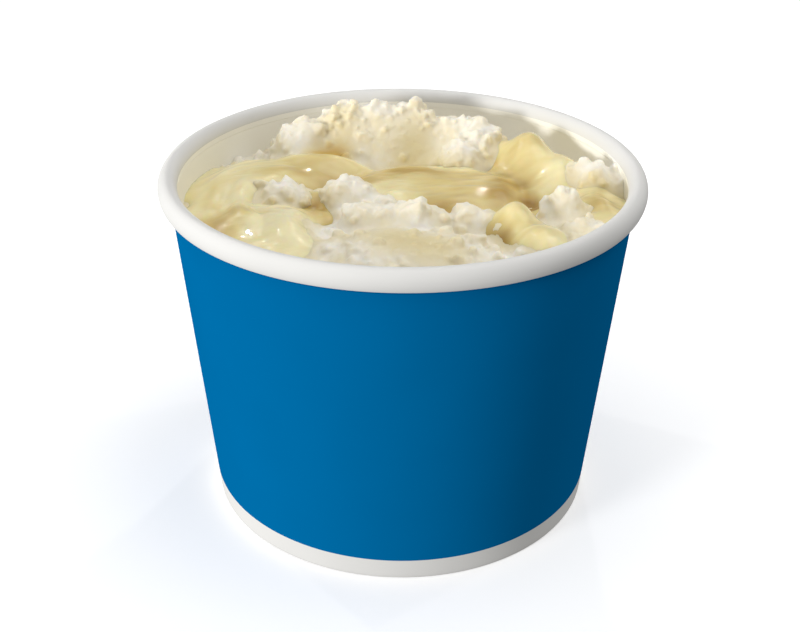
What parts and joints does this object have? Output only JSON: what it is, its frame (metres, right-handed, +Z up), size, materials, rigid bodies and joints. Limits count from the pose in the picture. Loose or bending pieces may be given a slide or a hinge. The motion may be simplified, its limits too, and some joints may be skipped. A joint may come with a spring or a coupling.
{
  "type": "paper cup of mashed potato with gravy",
  "caption": "Round tapered paper food cup with a rolled rim, filled with mounded mashed potato and poured gravy.",
  "frame": {"origin": "centre of the foot's ring, on the surface that the cup stands on", "axes": "+Z up along the cup's axis, -Y towards the viewer of the shown side, +X to the viewer's right"},
  "size_m": [0.097, 0.0968, 0.0734],
  "materials": {
    "printed_board": "blue print on white coated board, satin",
    "plain_board": "white coated board, satin",
    "potato": "moist fluffy mashed potato",
    "gravy": "glossy translucent pale gravy"
  },
  "bodies": {
    "root": {"cup_sidewall": "printed_board", "cup_base": "plain_board", "mashed_potato": "potato", "gravy": "gravy", "gravy_lobe": "gravy"}
  },
  "joints": []
}
